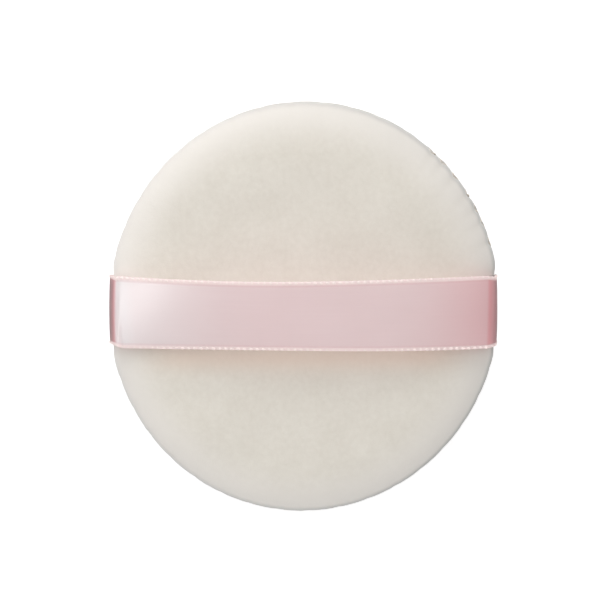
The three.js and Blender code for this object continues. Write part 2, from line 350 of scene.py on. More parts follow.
@dataclass(frozen=True)
class Satin:
    """Pale pink satin weave: long floats along the ribbon, and woven selvedges."""

    rose: Colour = (0.838, 0.722, 0.733)
    blush: Colour = (0.888, 0.787, 0.798)
    # Painted shade: deeper rose where the ribbon turns down.
    bent: Colour = (0.81, 0.475, 0.497)
    # Painted highlight towards the left fold.
    pale: Colour = (0.886, 0.872, 0.879)
    # Painted shade on the legs.
    leg: Colour = (0.63, 0.475, 0.485)
    # Painted shade in the groove beside each selvedge.
    groove: Colour = (0.74, 0.52, 0.53)
    binding: Colour = (0.945, 0.865, 0.862)
    selvedge: Colour = (0.97, 0.92, 0.905)
    roughness: float = 0.5
    through: float = 0.58
    gloss_index: float = 2.9
    gloss_roughness: float = 0.31
    gloss_lost_in_bend: float = 0.95
    gloss_won_at_fold: float = 0.7
    gloss_lost_at_edge: float = 0.6
    float_pitch: float = 0.11 * MM
    weft_pitch: float = 0.19 * MM
    streak: float = 0.22 * MM
    streak_draw: float = 0.02
    patch: float = 6.0 * MM
    float_shade: float = 0.08
    streak_shade: float = 0.55
    patch_shade: float = 0.6
    groove_shade: float = 0.2
    edge_roughens: float = 0.22
    streak_roughens: float = 0.12
    float_relief: float = 0.65
    weft_relief: float = 0.15
    streak_relief: float = 0.5
    edge_smooths: float = 0.5
    relief: float = 0.012 * MM
    groove_from: float = 4.2 * MM
    groove_to: float = 4.32 * MM
    edge_from: float = 4.45 * MM
    edge_to: float = 4.60 * MM
    loops_from: float = 5.5 * MM
    loops_to: float = 5.6 * MM

    def material(self) -> bpy.types.Material:
        """Makes the satin's material.

        It reads the map weave, in metres along and across the ribbon, where the selvedge loops
        lie past the strip's own width, and four attributes: pale is a painted highlight that pales
        the satin towards its left fold, bend and leg are painted shade, deeper rose by how far it
        has turned down at either end, and fold is where the right bend shines.

        Returns:
            The material.
        """
        bench = MaterialBench("satin_ribbon")
        weave = bench.out("ShaderNodeUVMap", {"uv_map": "weave"})
        parts = bench.node("ShaderNodeSeparateXYZ", inputs={"Vector": weave})
        along, across = bench.wires(parts, 0, 1)
        floats = (across * (math.tau / self.float_pitch)).sine() * 0.5 + 0.5
        weft = (along * (math.tau / self.weft_pitch)).sine() * 0.5 + 0.5
        drawn = bench.vector("MULTIPLY", weave, (self.streak_draw, 1.0, 1.0))
        streak = bench.noise(drawn, self.streak)
        patch = bench.noise(bench.place(), self.patch, detail=1.0, seed=5.0)
        off = across.size()
        groove = off.eased(self.groove_from, self.groove_to)
        edge = off.eased(self.edge_from, self.edge_to)
        pale, bend, leg, fold = (bench.kept(name) for name in ("pale", "bend", "leg", "fold"))
        shade = 0.5 + self.streak_shade * (streak - 0.5)
        shade = shade + self.patch_shade * (patch - 0.5) + self.float_shade * (floats - 0.5)
        colour = bench.mixed(shade, self.rose, self.blush)
        # A painted highlight (pale) and painted shade (bend, leg, groove); the edge and loops are
        # the selvedges' own colour.
        layers = (
            (pale, self.pale),
            (bend, self.bent),
            (leg, self.leg),
            (self.groove_shade * groove, self.groove),
            (edge, self.binding),
            (off.eased(self.loops_from, self.loops_to), self.selvedge),
        )
        for share, tone in layers:
            colour = bench.mixed(share, colour, tone)
        gloss = 1.0 - self.gloss_lost_in_bend * bend + self.gloss_won_at_fold * fold
        relief = self.float_relief * floats + self.weft_relief * weft
        relief = (relief + self.streak_relief * streak) * (1.0 - self.edge_smooths * edge)
        rough = self.edge_roughens * edge + self.streak_roughens * (streak - 0.5)
        return bench.finished(
            {
                "Base Color": colour,
                "Roughness": self.roughness + rough,
                "Normal": bench.bump(relief, self.relief),
                "Specular IOR Level": 0.15,
                "Coat Weight": gloss * (1.0 - self.gloss_lost_at_edge * edge),
                "Coat IOR": self.gloss_index,
                "Coat Roughness": self.gloss_roughness,
            },
            self.through,
        )


@dataclass(frozen=True)
class Foam:
    """Open-cell foam, pale cream."""

    wall: Colour = (0.88, 0.82, 0.64)
    # Painted shade in the pores.
    pore: Colour = (0.62, 0.54, 0.36)
    cell: float = 0.55 * MM
    pore_rim: tuple[float, float] = (0.1, 0.6)
    stain: float = 7.0 * MM
    wall_shade: float = 0.75
    stain_shade: float = 0.35
    stain_middle: float = 0.3
    relief: float = 0.12 * MM

    def material(self) -> bpy.types.Material:
        """Makes the foam's material.

        Returns:
            The material.
        """
        bench = MaterialBench("foam")
        place = bench.place()
        inputs = {"Vector": place, "Scale": 1.0 / self.cell}
        cells = bench.out("ShaderNodeTexVoronoi", {"feature": "F1"}, inputs, "Distance")
        wall = cells.eased(*self.pore_rim)
        stain = bench.noise(place, self.stain) - self.stain_middle
        # The pores are painted shade in the cells' hollows; the stain is the foam's own.
        shade = self.wall_shade * wall + self.stain_shade * stain
        return bench.finished(
            {
                "Base Color": bench.mixed(shade, self.pore, self.wall),
                "Roughness": 0.95,
                "Normal": bench.bump(wall, self.relief),
                "Specular IOR Level": 0.2,
            }
        )


@dataclass(frozen=True)
class SewingThread:
    """Spun polyester sewing thread, ivory."""

    light: Colour = (0.86, 0.81, 0.73)
    # Painted shade in the twist's grooves.
    groove: Colour = (0.60, 0.54, 0.46)
    slant: tuple[float, float, float] = (0.577, 0.577, 0.577)
    ply: float = 0.42 * MM
    fuzz: float = 0.07 * MM
    twist_unevenness: float = 3.0
    twist_shade: float = 0.7
    fuzz_shade: float = 0.5
    relief: float = 0.02 * MM

    def material(self) -> bpy.types.Material:
        """Makes the thread's material.

        Returns:
            The material.
        """
        bench = MaterialBench("sewing_thread")
        place = bench.place()
        fuzz = bench.noise(place, self.fuzz)
        run = bench.vector("DOT_PRODUCT", place, self.slant, "Value")
        turn = run * (math.tau / self.ply) + self.twist_unevenness * fuzz
        # The twist's grooves are painted shade; the fuzz is the thread's own.
        shade = self.twist_shade * (turn.sine() * 0.5 + 0.5) + self.fuzz_shade * fuzz
        return bench.finished(
            {
                "Base Color": bench.mixed(shade, self.groove, self.light),
                "Roughness": 0.7 + 0.15 * fuzz,
                "Normal": bench.bump(shade, self.relief),
                "Specular IOR Level": 0.3,
                "Sheen Weight": 0.15,
            }
        )


class GeometryRecipe(NodeBench):
    """A Geometry Nodes tree with named sizes, which is run once on an object and then taken off."""

    def __init__(self, name: str, material: bpy.types.Material) -> None:
        """Starts a tree.

        Args:
            name: the tree's name.
            material: what the result is made of.
        """
        super().__init__(bpy.data.node_groups.new(name, "GeometryNodeTree"))
        self.material = material
        self.values: dict[str, float] = {}
        face = self.tree.interface
        face.new_socket("Geometry", in_out="INPUT", socket_type="NodeSocketGeometry")
        face.new_socket("Geometry", in_out="OUTPUT", socket_type="NodeSocketGeometry")
        self.entry = self.node("NodeGroupInput")

    def start(self) -> Wire:
        """The geometry that comes in."""
        return Wire(self, self.entry.outputs["Geometry"])

    def knob(self, name: str, value: float) -> Wire:
        """Adds a named size.

        Args:
            name: what the size is.
            value: its value.

        Returns:
            The size as a wire.
        """
        self.tree.interface.new_socket(name, in_out="INPUT", socket_type="NodeSocketFloat")
        self.values[name] = value
        return Wire(self, self.entry.outputs[name])

    def moved(self, geometry: Wire, offset: Wire) -> Wire:
        """Geometry moved by an offset at each point."""
        return self.out(
            "GeometryNodeSetPosition", inputs={"Geometry": geometry, "Offset": offset}
        )

    def close_raised(self, height: Wire) -> None:
        """Ends the tree in the mesh that comes in, raised along its normals by a height."""
        offset = self.scaled(self.out("GeometryNodeInputNormal"), height)
        self.close(self.moved(self.start(), offset))

    def close(self, geometry: Wire) -> None:
        """Ends the tree in a real, smooth mesh with its material.

        Args:
            geometry: what the tree has made.
        """
        real = self.out("GeometryNodeRealizeInstances", inputs={"Geometry": geometry})
        smooth = self.out("GeometryNodeSetShadeSmooth", inputs={"Geometry": real})
        inputs = {"Geometry": smooth, "Material": self.material}
        dressed = self.out("GeometryNodeSetMaterial", inputs=inputs)
        self.node("NodeGroupOutput", inputs={"Geometry": dressed})

    def applied(self, piece: bpy.types.Object) -> bpy.types.Object:
        """Runs the tree on an object and keeps the result as its plain mesh.

        Args:
            piece: the object, which is changed.

        Returns:
            The same object.
        """
        modifier = piece.modifiers.new(self.tree.name, "NODES")
        modifier.node_group = self.tree
        for item in self.tree.interface.items_tree:
            if item.name in self.values:
                modifier[item.identifier] = self.values[item.name]
        graph = bpy.context.evaluated_depsgraph_get()
        mesh = bpy.data.meshes.new_from_object(
            piece.evaluated_get(graph), preserve_all_data_layers=True, depsgraph=graph
        )
        piece.modifiers.remove(modifier)
        mesh.name = piece.name
        piece.data = mesh
        return piece


def in_scene(name: str, data: bpy.types.ID) -> bpy.types.Object:
    """Makes an object of a mesh, a light or a camera.

    Args:
        name: the object's name.
        data: what it shows.

    Returns:
        The object, in the scene.
    """
    made = bpy.data.objects.new(name, data)
    bpy.context.scene.collection.objects.link(made)
    return made


def mesh_piece(
    name: str,
    corners: np.ndarray,
    faces: np.ndarray,
    material: bpy.types.Material,
    smooth: bool = True,
) -> bpy.types.Object:
    """Makes an object from arrays.

    Args:
        name: the object's name.
        corners: the places of its corners, a row each.
        faces: corner numbers, a row of three or four for each face.
        material: what it is made of.
        smooth: whether it is shaded smooth.

    Returns:
        The object, in the scene.
    """
    mesh = bpy.data.meshes.new(name)
    mesh.from_pydata(corners.tolist(), [], faces.tolist())
    mesh.validate()
    if smooth:
        mesh.shade_smooth()
    mesh.materials.append(material)
    return in_scene(name, mesh)


def path_piece(name: str, paths: Sequence[np.ndarray]) -> bpy.types.Object:
    """Makes an object of edges only, for a tree that follows paths.

    Args:
        name: the object's name.
        paths: for each path, the places that it goes through, a row each.

    Returns:
        The object, in the scene.
    """
    mesh = bpy.data.meshes.new(name)
    ends = set(np.cumsum([len(path) for path in paths]).tolist())
    edges = [(i, i + 1) for i in range(max(ends) - 1) if i + 1 not in ends]
    mesh.from_pydata(np.concatenate(paths).tolist(), edges, [])
    return in_scene(name, mesh)


def keep_values(piece: bpy.types.Object, name: str, values: np.ndarray) -> None:
    """Stores one number for each corner of a mesh, as a named attribute."""
    attribute = piece.data.attributes.new(name, "FLOAT", "POINT")
    attribute.data.foreach_set("value", values.astype(np.float32))


def eased(values: np.ndarray, low: float, high: float) -> np.ndarray:
    """The share to which values have risen, smoothly, from 0 at low to 1 at high."""
    share = np.clip((values - low) / (high - low), 0.0, 1.0)
    return share * share * (3.0 - 2.0 * share)


def columns(*values: np.ndarray) -> np.ndarray:
    """Arrays of one length, side by side."""
    return np.stack(values, axis=1)


def evenly(outline: np.ndarray, step: float) -> np.ndarray:
    """Walks along an outline in even steps.

    Args:
        outline: its points, a row each.
        step: the length of a step, at most.

    Returns:
        The points walked through, with both ends.
    """
    lengths = np.linalg.norm(np.diff(outline, axis=0), axis=1)
    run = np.concatenate([[0.0], np.cumsum(lengths)])
    places = np.linspace(0.0, run[-1], max(2, math.ceil(run[-1] / step) + 1))
    return columns(*(np.interp(places, run, column) for column in outline.T))


def ring_triangles(counts: Sequence[int]) -> np.ndarray:
    """Joins a row of rings, each with its own number of corners, into a skin.

    Args:
        counts: the number of corners in each ring, from the first pole outwards.

    Returns:
        The triangles, counter-clockwise seen from the first pole.
    """
    starts = np.concatenate([[0], np.cumsum(counts)])
    skins = []
    for ring in range(len(counts) - 1):
        here, there = counts[ring], counts[ring + 1]
        first, second = starts[ring], starts[ring + 1]
        i = np.arange(here)
        facing = -((-((2 * i + 1) * there - here)) // (2 * here)) % there
        skins.append(columns(first + i, second + facing, first + (i + 1) % here))
        j = np.arange(there)
        facing = (((2 * j + 1) * here - there) // (2 * there) + 1) % here
        skins.append(columns(first + facing, second + j, second + (j + 1) % there))
    faces = np.concatenate(skins)
    whole = (faces != np.roll(faces, 1, axis=1)).all(axis=1)
    return faces[whole]


@dataclass(frozen=True)
class PadShape:
    """The form that the covers, the foam and the threads share, as the solids have it."""

    diameter: float = 56.2 * MM
    width: float = 53.6 * MM
    thickness: float = 10.5 * MM
    crown_pressed: float = 0.25 * MM
    squeeze_lean: float = math.radians(-6.4)
    edge_fullness: float = 7.0
    velour: float = 1.2 * MM
    rim_softness: float = 0.3 * MM
    clearance: float = 0.3 * MM
    fold_radius: float = 0.8 * MM
    seam_allowance: float = 5.0 * MM
    stitch_inset: float = 1.7 * MM
    selvedge_thickness: float = 0.4 * MM
    thread: float = 0.3 * MM
    pull_falloff: float = 4.0
    ribbon_offset: float = -0.35 * MM
    held_half_width: float = 4.4 * MM
    held_edge: float = 3.0 * MM
    dome_samples: int = 600

    @property
    def radius(self) -> float:
        """Of the round pad, before the ribbon draws it in."""
        return self.diameter / 2

    @property
    def half_thickness(self) -> float:
        """From the seam to a crown that nothing presses."""
        return (self.thickness + self.crown_pressed) / 2

    @property
    def seam_height(self) -> float:
        """Of the seam over the table."""
        return self.half_thickness - self.crown_pressed

    @property
    def seam_half_gap(self) -> float:
        """From the seam's plane to a turned-in edge."""
        return self.clearance / 2

    @property
    def fold_rise(self) -> float:
        """From the seam's plane to where a cover's side starts."""
        return self.seam_half_gap + self.fold_radius

    @property
    def dome_height(self) -> float:
        """From there to the crown."""
        return self.half_thickness - self.fold_rise

    @property
    def flange_rise(self) -> float:
        """From the seam's plane to the free face of a turned-in edge."""
        return self.seam_half_gap + self.velour

    @property
    def flange_radius(self) -> float:
        """Of the turned-in edge's raw end."""
        return self.radius - self.fold_radius - self.seam_allowance

    @property
    def groove_rise(self) -> float:
        """From the seam's plane to the foam over the threads."""
        return self.flange_rise + self.thread + 2 * self.clearance

    def dome(
        self, radius: float, height: float, foot: float, pressed: float, step: float
    ) -> np.ndarray:
        """A dome's outline from the axis out to its foot.

        Args:
            radius: at the foot of a whole dome.
            height: of the crown before it is pressed.
            foot: how high the outline stops over the dome's base.
            pressed: how far the crown is pressed flat.
            step: the distance between two points.

        Returns:
            Rows of radius and rise over the dome's base.
        """
        first, last = math.asin(1 - pressed / height), math.asin(foot / height)
        angles = np.linspace(first, last, self.dome_samples)
        out = radius * np.cos(angles) ** (2 / self.edge_fullness)
        curve = columns(out, height * np.sin(angles))
        crown = np.array([[0.0, height - pressed]])
        return evenly(np.concatenate([crown, curve]), step)

    def pulled(self, places: np.ndarray) -> np.ndarray:
        """Where points of the round pad go once the ribbon has drawn it in.

        Args:
            places: rows of X, Y and Z.

        Returns:
            The moved rows.
        """
        lean = np.array([math.cos(self.squeeze_lean), math.sin(self.squeeze_lean)])
        squeeze = (1 - self.width / self.diameter) * (places[:, :2] @ lean)
        x = places[:, 0] - squeeze * lean[0]
        y = places[:, 1] - squeeze * lean[1]
        reach = np.sqrt(np.clip(1 - (y / self.radius) ** 2, 0.0, None))
        limit = self.width / 2 - self.selvedge_thickness - self.clearance
        over = (self.width / 2 * reach - limit) / self.rim_softness
        excess = self.rim_softness * np.log1p(np.exp(over))
        share = np.minimum(1.0, np.abs(x) / (self.width / 2)) ** self.pull_falloff
        off = np.abs(y - self.ribbon_offset)
        held = 1 - eased(off, self.held_half_width, self.held_half_width + self.held_edge)
        return columns(x - np.sign(x) * excess * share * held, y, places[:, 2])

    def place(self, radius: np.ndarray, angle: np.ndarray, rise: np.ndarray) -> np.ndarray:
        """Places given by radius, angle and height over the seam, once pulled."""
        x, y = radius * np.cos(angle), radius * np.sin(angle)
        return self.pulled(columns(x, y, self.seam_height + rise))


@dataclass(frozen=True)
class RimSeam:
    """Where the stitches lie round the rim."""

    pad: PadShape
    stitch_count: int = 36
    closing_length: float = 20.0 * MM
    closing_angle: float = math.radians(34.0)
    closing_stitch_count: int = 7
    closing_height: float = 1.1 * MM
    hole_margin: float = 1.9 * MM
    unevenness: float = 0.4 * MM
    wander_turn: float = 2.3
    wander_start: float = 0.6

    @property
    def closing_span(self) -> float:
        """The angle that the hand-sewn stretch takes."""
        return self.closing_length / self.pad.radius

    @property
    def stitch_angles(self) -> np.ndarray:
        """The angles of the machine stitches, evenly spaced over the rest of the rim."""
        start = self.closing_angle + self.closing_span / 2
        pitch = (math.tau - self.closing_span) / self.stitch_count
        return start + (np.arange(self.stitch_count) + 0.5) * pitch

    def closing_angles(self, side: Side) -> np.ndarray:
        """The angles at which the closing thread bites into one cover.

        Args:
            side: which cover.

        Returns:
            The angles.
        """
        turns = 2 * self.closing_stitch_count
        span = self.closing_span - self.hole_margin / (self.pad.radius - self.pad.stitch_inset)
        turn = np.arange(turns + 1)
        wander = np.sin(self.wander_turn * turn + self.wander_start)
        wander = wander * self.unevenness / self.pad.radius
        angles = self.closing_angle + span * (turn / turns - 0.5) + wander
        return angles[1::2] if side is Side.RIBBON else angles[::2]


@dataclass(frozen=True)
class RingSkin:
    """A closed skin of rings round the puff's axis."""

    radius: np.ndarray
    rise: np.ndarray
    angle: np.ndarray
    row: np.ndarray
    faces: np.ndarray

    @staticmethod
    def turned(outline: np.ndarray, steps: np.ndarray) -> "RingSkin":
        """Turns an outline that starts and ends on the axis.

        Args:
            outline: rows of radius and rise.
            steps: the distance between corners round each ring.

        Returns:
            The skin.
        """
        fewest = 6
        counts = [
            max(fewest, round(math.tau * radius / step)) if radius > step / 2 else 1
            for radius, step in zip(outline[:, 0], steps)
        ]
        angle = np.concatenate([np.arange(count) * (math.tau / count) for count in counts])
        row = np.repeat(np.arange(len(counts)), counts)
        faces = ring_triangles(counts)
        return RingSkin(outline[row, 0], outline[row, 1], angle, row, faces)


@dataclass
class VelourCover:
    """One velour disc: its dome, the turn into the seam, the turned-in edge and the back.

    Each of lump_waves is a share of the lumps' height, the waves along X and along Y in one
    lump_length, and where the wave starts.
    """

    side: Side
    pad: PadShape
    seam: RimSeam
    material: bpy.types.Material
    grid: float = 0.26 * MM
    back_grid: float = 0.9 * MM
    bite_width: float = 0.6 * MM
    closing_bite: float = 0.42 * MM
    machine_bite: float = 0.07 * MM
    bite_reach: float = 1.5 * MM
    bite_from_rim: tuple[float, float] = (6.0 * MM, 0.5 * MM)
    back_bite: float = 0.3
    # How much the pile parts at the closing stitches and shows its darker ground; that darker
    # colour is also painted shade in the dimples.
    parted_pile_and_shade: float = 0.7
    lump_height: float = 0.07 * MM
    lump_length: float = 15.0 * MM
    lump_waves: tuple[tuple[float, float, float, float], ...] = (
        (1.0, 0.9, 0.5, 0.7),
        (1.0, -0.4, 1.3, 2.1),
        (0.7, 0.6, -1.1, 4.0),
    )
    nap_height: float = 0.045 * MM
    nap_grain: float = 0.5 * MM
    tuft_height: float = 0.055 * MM
    tuft_grain: float = 1.7 * MM
    nap_middle: float = 0.8
    tail_half_width: float = 5.3 * MM
    tail_lift: float = 0.1 * MM
    tail_beside: float = 1.5 * MM
    tail_inside: float = 2.0 * MM
    tail_over: float = 1.0 * MM
    # Painted shade just over the seam: darkest towards this bearing, away from the lights, and
    # fading over this height above the fold.
    shade_bearing: float = math.radians(-35.0)
    seam_shade_height: float = 1.9 * MM
    seam_shade_flat: float = 0.4
    # Painted pink bounce light in the ribbon's shadow, along its low edge.
    bounce_share: float = 0.5
    bounce_y: float = -6.6 * MM
    bounce_width: float = 1.9 * MM
    bounce_ends: tuple[float, float] = (0.6, 0.9)
    # Width of the painted sheen that pales the pile towards the rim.
    rim_sheen_width: float = 7.0 * MM
    fold_rows: int = 7

    @property
    def name(self) -> str:
        """The piece's name."""
        return "velour_ribbon_side" if self.side is Side.RIBBON else "velour_powder_face"

    @property
    def node(self) -> str:
        """The solid that the piece stands for."""
        return "ribbon_side_cover" if self.side is Side.RIBBON else "powder_face_cover"

    def outline(self) -> tuple[np.ndarray, np.ndarray, np.ndarray]:
        """The cover's section, from its crown out, round the seam and back inside.

        Returns:
            Rows of radius and rise, the ring step of each row, and the pile of each row.
        """
        pad = self.pad
        pressed = pad.crown_pressed if self.side is Side.POWDER else 0.0
        face = pad.dome(pad.radius, pad.dome_height, 0.0, pressed, self.grid)
        turn = np.linspace(0.0, math.pi / 2, self.fold_rows)[1:]
        out = pad.radius - pad.fold_radius * (1 - np.cos(turn))
        fold = columns(out, -pad.fold_radius * np.sin(turn))
        low, high = pad.seam_half_gap - pad.fold_rise, pad.flange_rise - pad.fold_rise
        raw_edge = pad.flange_radius
        under = evenly(np.array([[fold[-1, 0], low], [raw_edge, low]]), self.back_grid)[1:]
        radius, height = pad.radius - pad.velour, pad.dome_height - pad.velour
        back = pad.dome(radius, height, high, pressed, self.back_grid)
        over = evenly(np.array([[raw_edge, high], back[-1]]), self.back_grid)
        rows = np.concatenate([face, fold, under, over, back[-2::-1]])
        rows[:, 1] += pad.fold_rise
        fine = len(face) + len(fold)
        steps = np.repeat([self.grid, self.back_grid], [fine, len(rows) - fine])
        pile = np.zeros(len(rows))
        pile[: len(face)] = 1.0
        pile[len(face) : fine] = np.cos(turn) ** 2
        return rows, steps, pile

    def bites(self, skin: RingSkin) -> np.ndarray:
        """How far the stitches draw the rim in.

        Args:
            skin: the cover's skin.

        Returns:
            A depth for each corner.
        """
        depth = np.zeros(len(skin.angle))
        kinds = (
            (self.seam.closing_angles(self.side), self.closing_bite),
            (self.seam.stitch_angles, self.machine_bite),
        )
        for angles, bite in kinds:
            for angle in angles:
                apart = (skin.angle - angle + math.pi) % math.tau - math.pi
                depth += bite * np.exp(-((apart * self.pad.radius / self.bite_width) ** 2))
        above = np.maximum(0.0, skin.rise - self.pad.fold_rise)
        near_rim = eased(skin.radius, *(self.pad.radius - off for off in self.bite_from_rim))
        return depth * np.exp(-above / self.bite_reach) * near_rim

    def lumps(self, skin: RingSkin) -> np.ndarray:
        """The slight unevenness of a stuffed pad, from waves that cross each other.

        Args:
            skin: the cover's skin.

        Returns:
            A height for each corner.
        """
        x = skin.radius * np.cos(skin.angle) / self.lump_length * math.tau
        y = skin.radius * np.sin(skin.angle) / self.lump_length * math.tau
        waves = sum(
            share * np.sin(along * x + across * y + start)
            for share, along, across, start in self.lump_waves
        )
        return self.lump_height * waves / 2

    def pressed(self, skin: RingSkin) -> np.ndarray:
        """Painted shade just over the seam, where the cover turns under.

        It is darkest on the side away from the lights.

        Args:
            skin: the cover's skin.

        Returns:
            A share for each corner.
        """
        rise = skin.rise - self.pad.fold_rise
        seam_shade = 1 - eased(rise, self.seam_shade_flat * self.seam_shade_height, self.seam_shade_height)
        return seam_shade * (0.5 + 0.5 * np.cos(skin.angle - self.shade_bearing))

    def warmed(self, skin: RingSkin) -> np.ndarray:
        """How much painted pink bounce light the pile gets in the ribbon's shadow, along its low
        edge.

        Args:
            skin: the cover's skin.

        Returns:
            A share for each corner.
        """
        x, y = skin.radius * np.cos(skin.angle), skin.radius * np.sin(skin.angle)
        beside = np.exp(-(((y - self.bounce_y) / self.bounce_width) ** 2))
        ends = eased(np.abs(x), *(share * self.pad.radius for share in self.bounce_ends))
        return self.bounce_share * beside * (1 - ends)

    def tail_opening(self, places: np.ndarray, skin: RingSkin) -> np.ndarray:
        """Opens the seam round the ribbon's ends.

        Args:
            places: the corners, once pulled.
            skin: the cover's skin.

        Returns:
            The moved corners.
        """
        pad = self.pad
        off = np.abs(places[:, 1] - pad.ribbon_offset)
        beside = 1 - eased(off, self.tail_half_width, self.tail_half_width + self.tail_beside)
        raw_edge = pad.flange_radius
        inside = eased(np.abs(places[:, 0]), raw_edge - self.tail_inside, raw_edge)
        flat = 1 - eased(np.abs(skin.rise), pad.flange_rise, pad.flange_rise + self.tail_over)
        places[:, 2] += self.side.value * self.tail_lift * beside * inside * flat
        return places

    def nap(self) -> GeometryRecipe:
        """Makes the tree that raises the pile's uneven surface.

        Returns:
            The tree, ready to run.
        """
        recipe = GeometryRecipe(f"{self.name}_nap", self.material)
        place = recipe.out("GeometryNodeInputPosition")
        height = 0.0
        kinds = (
            ("Nap", self.nap_height, self.nap_grain, 1.5, 1.0),
            ("Tuft", self.tuft_height, self.tuft_grain, 4.5, 2.0),
        )
        for name, rise, grain, seed, detail in kinds:
            rise = recipe.knob(f"{name} Height", rise)
            grain = recipe.knob(f"{name} Grain", grain)
            height = height + (recipe.noise(place, grain, detail, seed) - self.nap_middle) * rise
        settings = {"data_type": "FLOAT"}
        pile = recipe.out("GeometryNodeInputNamedAttribute", settings, {"Name": "pile"})
        recipe.close_raised(height * pile)
        return recipe

    def build(self) -> bpy.types.Object:
        """Makes the cover.

        Returns:
            The finished piece, on its body.
        """
        rows, steps, pile = self.outline()
        skin = RingSkin.turned(rows, steps)
        outside = pile[skin.row]
        shrink = self.bites(skin) * np.maximum(outside, self.back_bite)
        lumps = self.lumps(skin) * outside * (self.side is Side.RIBBON)
        rise = self.side.value * (skin.rise + lumps)
        places = self.pad.place(skin.radius - shrink, skin.angle, rise)
        places = self.tail_opening(places, skin)
        faces = skin.faces if self.side is Side.RIBBON else skin.faces[:, ::-1]
        piece = mesh_piece(self.name, places, faces, self.material)
        # At the closing stitches the pile parts and shows its ground, and the darker colour there
        # also paints the shade in the dimples.
        parted = np.clip(shrink / self.closing_bite, 0.0, 1.0)
        keep_values(piece, "pile", outside * (1 - self.parted_pile_and_shade * parted))
        # Painted shade just over the seam.
        keep_values(piece, "pressed", self.pressed(skin))
        # Painted pink bounce light in the ribbon's shadow.
        keep_values(piece, "warmed", self.warmed(skin) * (self.side is Side.RIBBON))
        # Painted sheen that pales the pile towards the rim.
        rim = self.pad.radius
        keep_values(piece, "fanned", eased(skin.radius, rim - self.rim_sheen_width, rim))
        self.nap().applied(piece)
        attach(piece, "pad")
        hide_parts(self.node)
        return piece


@dataclass
class FoamCore:
    """The foam disc inside the covers, grooved round its edge for the seam."""

    pad: PadShape
    material: bpy.types.Material
    grid: float = 0.55 * MM
    pore_depth: float = 0.14 * MM
    pore_grain: float = 1.1 * MM

    def outline(self) -> np.ndarray:
        """The foam's section, from the upper crown to the lower one.

        Returns:
            Rows of radius and rise.
        """
        pad = self.pad
        radius = pad.radius - pad.velour - pad.clearance
        height = pad.dome_height - pad.velour - pad.clearance
        foot = pad.groove_rise - pad.fold_rise
        halves = []
        for pressed in (0.0, pad.crown_pressed):
            dome = pad.dome(radius, height, foot, pressed, self.grid) + [0.0, pad.fold_rise]
            ledge = np.array([dome[-1], [pad.flange_radius - pad.clearance, pad.groove_rise]])
            halves.append(np.concatenate([dome, evenly(ledge, self.grid)[1:]]))
        upper, lower = halves
        lower = lower[::-1] * [1.0, -1.0]
        wall = evenly(np.array([upper[-1], lower[0]]), self.grid)[1:-1]
        return np.concatenate([upper, wall, lower])

    def pores(self) -> GeometryRecipe:
        """Makes the tree that sinks pores into the foam's skin.

        Returns:
            The tree, ready to run.
        """
        recipe = GeometryRecipe("foam_pores", self.material)
        depth = recipe.knob("Pore Depth", self.pore_depth)
        grain = recipe.knob("Pore Grain", self.pore_grain)
        inputs = {"Vector": recipe.out("GeometryNodeInputPosition"), "Scale": 1.0 / grain}
        cells = recipe.out("ShaderNodeTexVoronoi", {"feature": "F1"}, inputs, "Distance")
        recipe.close_raised((cells - 1.0) * depth)
        return recipe

    def build(self) -> bpy.types.Object:
        """Makes the foam.

        Returns:
            The finished piece, on its body.
        """
        rows = self.outline()
        skin = RingSkin.turned(rows, np.full(len(rows), self.grid))
        places = self.pad.place(skin.radius, skin.angle, skin.rise)
        piece = self.pores().applied(mesh_piece("foam_disc", places, skin.faces, self.material))
        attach(piece, "pad")
        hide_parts("foam_core")
        return piece


